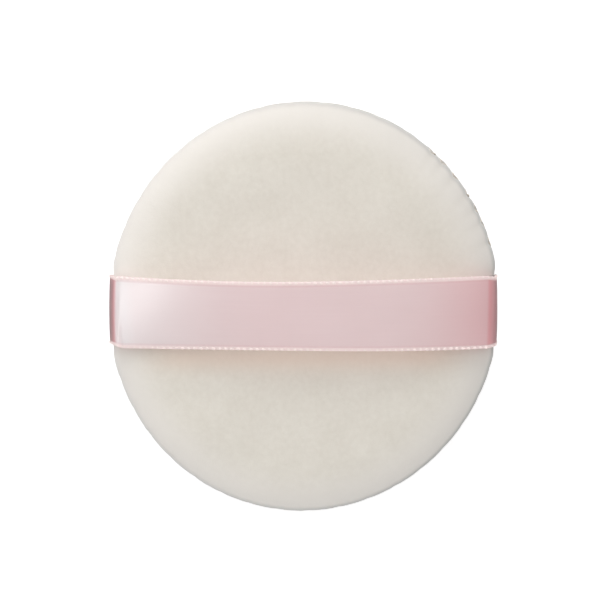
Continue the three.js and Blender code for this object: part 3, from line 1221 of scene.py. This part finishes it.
@dataclass
class ClosingStitches:
    """The hand-sewn stretch of the rim: a plied thread that zigzags over the groove."""

    pad: PadShape
    seam: RimSeam
    material: bpy.types.Material
    ply_radius: float = 0.078 * MM
    ply_offset: float = 0.07 * MM
    twist_pitch: float = 0.9 * MM
    sample: float = 0.07 * MM
    inset: float = 0.2 * MM
    bite: float = 0.5 * MM
    bite_sharpness: int = 8
    samples_per_turn: int = 24
    ply_sides: int = 7

    def path(self) -> np.ndarray:
        """The thread's middle line, which dips into a cover at each turn.

        Returns:
            Rows of X, Y and Z.
        """
        turns = 2 * self.seam.closing_stitch_count
        upper = self.seam.closing_angles(Side.RIBBON)
        lower = self.seam.closing_angles(Side.POWDER)
        turned = np.sort(np.concatenate([lower, upper]))
        phase = np.linspace(0.0, turns, turns * self.samples_per_turn + 1)
        angle = np.interp(phase, np.arange(turns + 1), turned)
        swing = np.cos(phase * math.pi)
        rise = -self.seam.closing_height / 2 * swing
        dip = self.bite * np.abs(swing) ** self.bite_sharpness
        radius = self.pad.radius - self.inset - dip
        return self.pad.place(radius, angle, rise)

    def plies(self) -> GeometryRecipe:
        """Makes the tree that lays two twisted plies round the path.

        Returns:
            The tree, ready to run.
        """
        recipe = GeometryRecipe("closing_plies", self.material)
        radius = recipe.knob("Ply Radius", self.ply_radius)
        offset = recipe.knob("Ply Offset", self.ply_offset)
        pitch = recipe.knob("Twist Pitch", self.twist_pitch)
        sample = recipe.knob("Sample", self.sample)
        curve = recipe.out("GeometryNodeMeshToCurve", inputs={"Mesh": recipe.start()})
        inputs = {"Curve": curve, "Length": sample}
        curve = recipe.out("GeometryNodeResampleCurve", {"mode": "LENGTH"}, inputs)
        run = recipe.out("GeometryNodeSplineParameter", output="Length")
        tangent = recipe.out("GeometryNodeInputTangent")
        normal = recipe.out("GeometryNodeInputNormal")
        side = recipe.vector("CROSS_PRODUCT", tangent, normal)
        inputs = {"Radius": radius, "Resolution": self.ply_sides}
        section = recipe.out("GeometryNodeCurvePrimitiveCircle", inputs=inputs)
        plies = []
        for start in (0.0, math.pi):
            turn = run * (math.tau / pitch) + start
            out = recipe.scaled(normal, (turn + math.pi / 2).sine() * offset)
            across = recipe.scaled(side, turn.sine() * offset)
            ply = recipe.moved(curve, recipe.vector("ADD", out, across))
            inputs = {"Curve": ply, "Profile Curve": section, "Fill Caps": True}
            plies.append(recipe.out("GeometryNodeCurveToMesh", inputs=inputs))
        join = recipe.node("GeometryNodeJoinGeometry")
        for ply in plies:
            recipe.tree.links.new(ply.socket, join.inputs[0])
        recipe.close(recipe.wires(join, 0)[0])
        return recipe

    def build(self) -> bpy.types.Object:
        """Makes the thread.

        Returns:
            The finished piece, on its body.
        """
        piece = self.plies().applied(path_piece("closing_stitches", [self.path()]))
        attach(piece, "pad")
        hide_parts("closing_thread")
        return piece


@dataclass(frozen=True)
class Shoulder:
    """How the ribbon turns down at one end of its arch, and where its painted shade deepens there.

    Bend and leg are the stretches over which the painted shade deepens: drops below the crown,
    in metres, at the sharp left fold, and slopes, in degrees, at the round right bend.
    """

    radius: float
    leg_lean: float
    bend: tuple[float, float]
    leg: tuple[float, float]
    bend_share: float = 1.0


@dataclass
class FingerRibbon:
    """The satin ribbon: one strip from tail to tail, with woven selvedges."""

    pad: PadShape
    material: bpy.types.Material
    width: float = 10.0 * MM
    thickness: float = 0.2 * MM
    selvedge_width: float = 0.5 * MM
    selvedge_thickness: float = 0.24 * MM
    groove_width: float = 0.3 * MM
    groove_depth: float = 0.02 * MM
    solid_thickness: float = 0.3 * MM
    finger_gap: float = 6.2 * MM
    tilt: float = math.radians(18.0)
    tilt_skew: float = 0.65
    tilt_fullness: float = 0.8
    tilt_fades: tuple[float, float] = (math.radians(12.5), math.radians(80.0))
    sway: float = 0.12 * MM
    gather: float = 0.06
    shoulder_slope: float = math.radians(25.0)
    left: Shoulder = Shoulder(
        1.0 * MM, math.radians(12.0), (5.5 * MM, 8.9 * MM), (7.3 * MM, 10.6 * MM), 0.95
    )
    right: Shoulder = Shoulder(2.3 * MM, math.radians(3.0), (13.0, 42.0), (33.0, 78.0))
    shine_from: tuple[float, float] = (32.0, 42.0)
    shine_to: tuple[float, float] = (46.0, 60.0)
    # Where the painted highlight pales the satin towards the left fold.
    pale_far_from: float = 5.0 * MM
    pale_far_inset: float = 1.0 * MM
    pale_far_share: float = 0.65
    pale_near_insets: tuple[float, float] = (4.0 * MM, 1.5 * MM)
    pale_near_share: float = 0.35
    tail_inset: float = 0.5 * MM
    leg_inset: float = 0.12 * MM
    leg_wrap: float = 0.12 * MM
    shift: float = -0.08 * MM
    cupping: float = 0.12 * MM
    ripple: float = 0.05 * MM
    ripple_along: float = 5.2 * MM
    ripple_across: float = 3.1 * MM
    selvedge_round: float = 0.12 * MM
    edge_round: float = 0.1 * MM
    bead_pitch: float = 0.85 * MM
    bead_radius: float = 0.22 * MM
    bead_least: tuple[float, float, float] = (0.9, 0.9, 1.15)
    bead_most: tuple[float, float, float] = (1.1, 1.1, 1.5)
    bead_sides: int = 8
    bead_rings: int = 5
    bead_inset: float = 0.35
    beads_until: float = math.radians(120.0)
    stretch_foot: float = 0.5 * MM
    stretch_head: float = 3.0 * MM
    arch_rows: int = 110
    bend_rows: int = 16
    leg_rows: int = 26
    hem_rows: int = 10
    tail_rows: int = 12
    field_columns: int = 56

    @property
    def leg_x(self) -> float:
        """Where a leg meets the seam."""
        return self.pad.width / 2 - self.pad.selvedge_thickness / 2 - self.leg_inset

    @property
    def crown_height(self) -> float:
        """Of the arch's middle over the table."""
        return self.pad.thickness + self.finger_gap + self.solid_thickness / 2

    def half_route(self, shoulder: Shoulder) -> np.ndarray:
        """The ribbon's line from its crown to its cut end, on the side of +X.

        Args:
            shoulder: how it turns down.

        Returns:
            Rows of X, Z and the slope below the horizontal.
        """
        seam = self.pad.seam_height
        foot = seam + self.solid_thickness / 2 + self.pad.clearance
        leg_slope = math.pi / 2 - shoulder.leg_lean
        bend_width = shoulder.radius * (math.sin(leg_slope) - math.sin(self.shoulder_slope))
        bend_drop = shoulder.radius * (math.cos(self.shoulder_slope) - math.cos(leg_slope))
        drop = self.crown_height - foot - bend_drop
        lean = math.tan(shoulder.leg_lean)
        slope_rise = math.tan(self.shoulder_slope)
        arch_width = (self.leg_x - bend_width - drop * lean) / (1 - slope_rise * lean / 2)
        arch_drop = arch_width * slope_rise / 2
        share = np.linspace(0.0, 1.0, self.arch_rows)
        fall = np.arctan(2 * arch_drop * share / arch_width)
        arch = columns(arch_width * share, self.crown_height - arch_drop * share**2, fall)
        slope = np.linspace(self.shoulder_slope, leg_slope, self.bend_rows)[1:]
        out = shoulder.radius * (np.sin(slope) - math.sin(self.shoulder_slope))
        down = shoulder.radius * (math.cos(self.shoulder_slope) - np.cos(slope))
        bend = columns(arch_width + out, arch[-1, 1] - down, slope)
        start, end = bend[-1], np.array([self.leg_x, foot, leg_slope])
        leg = start + (end - start) * np.linspace(0.0, 1.0, self.leg_rows)[1:, None]
        hem = (foot - seam) / (1 + math.cos(leg_slope))
        slope = np.linspace(leg_slope, math.pi, self.hem_rows)[1:]
        out = hem * (np.sin(slope) - math.sin(leg_slope))
        down = hem * (np.cos(slope) - math.cos(leg_slope))
        turn = columns(self.leg_x + out, foot + down, slope)
        start, end = turn[-1], np.array([self.tail_end, seam, math.pi])
        tail = start + (end - start) * np.linspace(0.0, 1.0, self.tail_rows)[1:, None]
        return np.concatenate([arch, bend, leg, turn, tail])

    @property
    def tail_end(self) -> float:
        """Where the ribbon is cut off inside the seam."""
        raw = self.pad.pulled(np.array([[self.pad.flange_radius, 0.0, 0.0]]))[0, 0]
        return raw + self.tail_inset

    def route(self) -> np.ndarray:
        """The whole line from the left cut end to the right one, as rows of X, Z and slope."""
        left = self.half_route(self.left)[:0:-1] * [-1.0, 1.0, -1.0]
        return np.concatenate([left, self.half_route(self.right)])

    def surface(self, route: np.ndarray, across: np.ndarray, lift: np.ndarray) -> np.ndarray:
        """Places on the ribbon.

        Args:
            route: rows of X, Z and slope.
            across: distances from the middle, one for each column.
            lift: distances out of the ribbon's middle plane, one for each column.

        Returns:
            A grid of places, a row for each row of the route.
        """
        x, z, slope = route[:, :1], route[:, 1:2], route[:, 2:]
        share = (np.clip(x, -self.leg_x, self.leg_x) / self.leg_x + 1) / 2
        past_arch = eased(np.abs(slope), *self.tilt_fades)
        swell = np.clip(np.sin(math.pi * share**self.tilt_skew), 0.0, 1.0) ** self.tilt_fullness
        tilt = self.tilt * swell * (1 - past_arch)
        across = across * (1 - self.gather * past_arch)
        sway = self.sway * (1 - (2 * share - 1) ** 2)
        on_arch = 1 - eased(np.abs(slope), self.shoulder_slope, math.pi / 2)
        on_leg = 1 - eased(np.abs(np.abs(slope) - math.pi / 2), 0.0, math.pi / 3)
        bow = -self.cupping * (across / (self.width / 2)) ** 2 * on_arch
        wrap = self.leg_wrap * (across / (self.width / 2)) ** 2 * on_leg
        run = self.run(route)[:, None]
        ripple = self.ripple * np.sin(run / self.ripple_along + across / self.ripple_across)
        out = lift + bow + ripple * on_arch
        normal = np.sin(slope) * np.cos(tilt), -np.sin(tilt), np.cos(slope) * np.cos(tilt)
        side = np.sin(slope) * np.sin(tilt), np.cos(tilt), np.cos(slope) * np.sin(tilt)
        return np.stack(
            [
                x + self.shift + side[0] * across + normal[0] * out - np.sign(x) * wrap,
                self.pad.ribbon_offset - sway + side[1] * across + normal[1] * out,
                z + side[2] * across + normal[2] * out,
            ],
            axis=2,
        )

    @staticmethod
    def run(route: np.ndarray) -> np.ndarray:
        """The length along the route up to each of its rows."""
        lengths = np.linalg.norm(np.diff(route[:, :2], axis=0), axis=1)
        return np.concatenate([[0.0], np.cumsum(lengths)])

    def section(self) -> tuple[np.ndarray, np.ndarray]:
        """The upper half of the section's loop.

        Returns:
            Distances across the ribbon, and the half thickness at each.
        """
        half = self.width / 2
        inner = half - self.selvedge_width
        groove = inner - self.groove_width
        field = np.linspace(-groove, groove, self.field_columns)
        rise, fall = inner + self.selvedge_round, half - self.edge_round
        edge = np.array([groove + self.groove_width / 2, inner, rise, fall, half])
        across = np.concatenate([-edge[::-1], field, edge])
        thin = self.thickness / 2
        thick = self.selvedge_thickness / 2
        rims = np.array([thin - self.groove_depth, thin, thick, thick, thin])
        height = np.concatenate([rims[::-1], np.full(len(field), thin), rims])
        return across, height

    def strip(self) -> bpy.types.Object:
        """Makes the woven strip as a closed shell, with the map weave in metres.

        Returns:
            The strip, with the attributes that its satin reads.
        """
        route = self.route()
        across, height = self.section()
        upper = self.surface(route, across, height)
        lower = self.surface(route, across[::-1], -height[::-1])
        loop = np.concatenate([upper, lower], axis=1)
        rows, width = loop.shape[:2]
        number = np.arange(rows * width).reshape(rows, width)
        following = np.roll(number, -1, axis=1)
        skin = np.stack([number[:-1], number[1:], following[1:], following[:-1]], axis=2)
        half = width // 2
        caps = []
        for ring, flipped in ((number[0], False), (number[-1], True)):
            near, far = ring[:half], ring[half:][::-1]
            cap = columns(near[:-1], near[1:], far[1:], far[:-1])
            caps.append(cap[:, ::-1] if flipped else cap)
        faces = np.concatenate([skin.reshape(-1, 4), *caps])
        piece = mesh_piece("satin_strip", loop.reshape(-1, 3), faces, self.material)
        round_loop = np.tile(np.concatenate([across, across[::-1]]), rows)
        self.map_weave(piece, columns(np.repeat(self.run(route), width), round_loop))
        for name, values in self.light(route).items():
            keep_values(piece, name, np.repeat(values, width))
        return piece

    def light(self, route: np.ndarray) -> dict[str, np.ndarray]:
        """Where the satin has its painted highlight, its painted shade or more gloss along the
        ribbon.

        Args:
            route: rows of X, Z and slope.

        Returns:
            For each attribute that the satin reads, a share for each row.
        """
        left = route[:, 0] < 0
        toward_left = -route[:, 0]
        slope = np.degrees(route[:, 2])
        drop = self.crown_height - route[:, 1]
        bend = self.left.bend_share * eased(drop, *self.left.bend)
        shine = eased(slope, *self.shine_from) * (1 - eased(slope, *self.shine_to))
        far = eased(toward_left, self.pale_far_from, self.leg_x - self.pale_far_inset)
        near = eased(toward_left, *(self.leg_x - inset for inset in self.pale_near_insets))
        # pale is a painted highlight, bend and leg are painted shade, and fold adds gloss.
        return {
            "bend": np.where(left, bend, self.right.bend_share * eased(slope, *self.right.bend)),
            "leg": np.where(left, eased(drop, *self.left.leg), eased(slope, *self.right.leg)),
            "fold": np.where(left, 0.0, shine),
            "pale": self.pale_far_share * far + self.pale_near_share * near,
        }

    @staticmethod
    def map_weave(piece: bpy.types.Object, weave: np.ndarray) -> None:
        """Stores the map weave.

        Args:
            piece: the object.
            weave: for each corner, metres along and across the ribbon.
        """
        layer = piece.data.uv_layers.new(name="weave")
        corner = np.zeros(len(piece.data.loops), dtype=np.int32)
        piece.data.loops.foreach_get("vertex_index", corner)
        layer.data.foreach_set("uv", weave[corner].astype(np.float32).ravel())

    def beads(self) -> GeometryRecipe:
        """Makes the tree that sets the selvedges' loops of weft along their paths.

        Returns:
            The tree, ready to run.
        """
        recipe = GeometryRecipe("selvedge_loops", self.material)
        pitch = recipe.knob("Loop Pitch", self.bead_pitch)
        radius = recipe.knob("Loop Radius", self.bead_radius)
        curve = recipe.out("GeometryNodeMeshToCurve", inputs={"Mesh": recipe.start()})
        inputs = {"Curve": curve, "Length": pitch}
        points = recipe.node("GeometryNodeCurveToPoints", {"mode": "LENGTH"}, inputs)
        places, turns = recipe.wires(points, "Points", "Rotation")
        inputs = {"Segments": self.bead_sides, "Rings": self.bead_rings, "Radius": radius}
        bead = recipe.out("GeometryNodeMeshUVSphere", inputs=inputs)
        settings = {"data_type": "FLOAT_VECTOR"}
        inputs = {"Min": self.bead_least, "Max": self.bead_most, "Seed": 11}
        stretch = recipe.out("FunctionNodeRandomValue", settings, inputs)
        inputs = {"Points": places, "Instance": bead, "Rotation": turns, "Scale": stretch}
        recipe.close(recipe.out("GeometryNodeInstanceOnPoints", inputs=inputs))
        return recipe

    def selvedges(self) -> bpy.types.Object:
        """Makes both selvedges' loops.

        Returns:
            The loops, as one piece, whose map weave lies past the strip's own width.
        """
        route = self.route()
        shown = route[np.abs(route[:, 2]) < self.beads_until]
        place = self.width / 2 - self.bead_inset * self.selvedge_width
        rails = self.surface(shown, np.array([-place, place]), np.zeros(2))
        piece = path_piece("selvedge_loops", [rails[:, 0], rails[:, 1]])
        self.beads().applied(piece)
        self.map_weave(piece, np.tile([0.0, self.width], (len(piece.data.vertices), 1)))
        return piece

    def build(self) -> list[bpy.types.Object]:
        """Makes the ribbon.

        Returns:
            The finished strip and its selvedges.
        """
        strip = self.strip()
        selvedges = self.selvedges()
        run = self.run(self.route())[-1]
        low = Vector((0.0, 0.0, self.pad.seam_height + self.stretch_foot))
        high = Vector((0.0, 0.0, self.crown_height - self.stretch_head))
        for piece in (strip, selvedges):
            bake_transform(piece)
        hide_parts("ribbon_band", "left_ribbon_tail", "right_ribbon_tail")
        return [strip, selvedges]


@dataclass
class SeamThreads:
    """The seam's machine and tack threads, which keep their solids and get the thread's finish."""

    frame: Mapping[str, Mapping[str, bpy.types.Object]]
    material: bpy.types.Material
    nodes: tuple[str, ...] = (
        "seam_needle_thread",
        "seam_bobbin_thread",
        "left_tack_stitches",
        "right_tack_stitches",
    )

    def dress(self) -> None:
        """Gives each solid its finish."""
        for name in self.nodes:
            node = self.frame["nodes"][name]
            node.data.materials.clear()
            node.data.materials.append(self.material)
            LOG.info("%s keeps its solid", name)


@dataclass(frozen=True)
class Softbox:
    """A soft light that hangs at a bearing and a height and looks at the puff.

    The bearing is in degrees from +X, counter-clockwise seen from above, and the height in
    degrees over the table. Size is the level side, upright_share the other side's share of it,
    size and distance are in metres and power in watts.
    """

    name: str
    bearing: float
    height: float
    size: float
    power: float
    upright_share: float = 1.0
    distance: float = 0.9

    def hang(self) -> None:
        """Adds the light to the scene."""
        data = bpy.data.lights.new(self.name, "AREA")
        data.shape = "RECTANGLE"
        data.size = self.size
        data.size_y = self.size * self.upright_share
        data.energy = self.power
        light = in_scene(self.name, data)
        turn, climb = math.radians(self.bearing), math.radians(self.height)
        level = math.cos(climb)
        toward = Vector((math.cos(turn) * level, math.sin(turn) * level, math.sin(climb)))
        light.location = toward * self.distance
        light.rotation_mode = "QUATERNION"
        light.rotation_quaternion = toward.to_track_quat("Z", "Y")


@dataclass
class Studio:
    """The pale table, the soft lights and the camera over the puff."""

    pad: PadShape
    photo_scale: float = 7.3
    photo_side: float = 600.0
    pad_centre_px: tuple[float, float] = (303.9, 306.2)
    view_lean: float = math.radians(4.6)
    distance: float = 0.9
    sensor: float = 36.0
    farthest: float = 10.0
    fill: float = 0.333
    lights: tuple[Softbox, ...] = (
        Softbox("back_light", bearing=103.0, height=32.0, size=0.55, power=3.9),
        Softbox("top_light", bearing=60.0, height=68.0, size=0.6, power=1.6),
        Softbox("left_light", bearing=150.0, height=44.0, size=0.45, power=1.38),
        Softbox(
            "window_light", bearing=201.0, height=34.0, size=0.4, power=1.08, upright_share=0.6
        ),
        Softbox("front_light", bearing=284.0, height=15.0, size=0.55, power=2.0),
        Softbox("right_light", bearing=335.0, height=24.0, size=0.5, power=0.5),
    )
    white: Colour = (1.0, 1.0, 1.0)
    table_colour: Colour = (0.88, 0.88, 0.88)
    table_grain: Colour = (0.8, 0.8, 0.8)
    table_bounce: Colour = (0.66, 0.66, 0.66)
    table_glow: float = 0.55
    table_half: float = 1.5
    table_drop: float = 0.02 * MM
    grain: float = 40.0 * MM
    grain_share: float = 0.1

    def camera(self) -> None:
        """Sets the camera nearly overhead, framed as the photograph is."""
        data = bpy.data.cameras.new("camera")
        data.sensor_width = self.sensor
        seen = self.photo_side / self.photo_scale * MM
        data.lens = self.sensor * self.distance / seen
        data.clip_end = self.farthest
        back = Vector((0.0, math.sin(self.view_lean), math.cos(self.view_lean)))
        right = Vector((1.0, 0.0, 0.0))
        up = back.cross(right)
        middle = self.photo_side / 2
        shift_x = (self.pad_centre_px[0] - middle) / self.photo_scale * MM
        shift_y = (self.pad_centre_px[1] - middle) / self.photo_scale * MM
        aim = Vector((0.0, 0.0, self.pad.seam_height)) - right * shift_x + up * shift_y
        camera = in_scene("camera", data)
        turn = Matrix((right, up, back)).transposed().to_4x4()
        camera.matrix_world = Matrix.Translation(aim + back * self.distance) @ turn
        bpy.context.scene.camera = camera

    @staticmethod
    def seen_directly(bench: NodeBench) -> Wire:
        """Tells the rays that show a thing from those that light with it.

        Args:
            bench: the tree that asks.

        Returns:
            1 for the camera's rays and those in gloss or glass, 0 for the others.
        """
        path = bench.node("ShaderNodeLightPath")
        kinds = ("Is Camera Ray", "Is Glossy Ray", "Is Transmission Ray")
        camera, glossy, clear = bench.wires(path, *kinds)
        return (camera + glossy + clear).eased(0.0, 1.0)

    def world(self) -> None:
        """Lights the room evenly, and shows it white."""
        world = bpy.data.worlds.new("room")
        bpy.context.scene.world = world
        world.use_nodes = True
        bench = NodeBench(world.node_tree)
        bench.tree.nodes.clear()
        direct = self.seen_directly(bench)
        light = self.fill + (1.0 - self.fill) * direct
        inputs = {"Color": opaque(self.white), "Strength": light}
        room = bench.out("ShaderNodeBackground", inputs=inputs)
        bench.node("ShaderNodeOutputWorld", inputs={"Surface": room})

    def table(self) -> None:
        """Lays the table, which shows white where no shadow falls."""
        bench = MaterialBench("table")
        direct = self.seen_directly(bench)
        grain = bench.noise(bench.place(), self.grain)
        shown = bench.mixed(self.grain_share * grain, self.table_colour, self.table_grain)
        colour = bench.mixed(direct, self.table_bounce, shown)
        material = bench.finished(
            {
                "Base Color": colour,
                "Roughness": 0.9,
                "Specular IOR Level": 0.1,
                "Emission Color": opaque(self.white),
                "Emission Strength": self.table_glow * direct,
            }
        )
        corners = self.table_half * np.array([[-1, -1, 0], [1, -1, 0], [1, 1, 0], [-1, 1, 0.0]])
        corners[:, 2] = -self.table_drop
        mesh_piece("table_top", corners, np.array([[0, 1, 2, 3]]), material, smooth=False)

    def build(self) -> None:
        """Sets everything up."""
        bpy.context.scene.view_settings.view_transform = "Standard"
        self.camera()
        self.world()
        self.table()
        for light in self.lights:
            light.hang()


def main() -> None:
    """Builds the puff's pieces and reports each."""
    logging.basicConfig(level=logging.INFO, format="%(name)s: %(message)s")
    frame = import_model()
    pad = PadShape()
    seam = RimSeam(pad)
    velour = Velour().material()
    satin = Satin().material()
    foam = Foam().material()
    thread = SewingThread().material()
    Studio(pad).build()
    pieces = [VelourCover(side, pad, seam, velour).build() for side in Side]
    pieces.append(FoamCore(pad, foam).build())
    pieces.append(ClosingStitches(pad, seam, thread).build())
    pieces.extend(FingerRibbon(pad, satin).build())
    SeamThreads(frame, thread).dress()
    for piece in pieces:
        LOG.info("%s has %d faces", piece.name, len(piece.data.polygons))


if __name__ == "__main__":
    main()
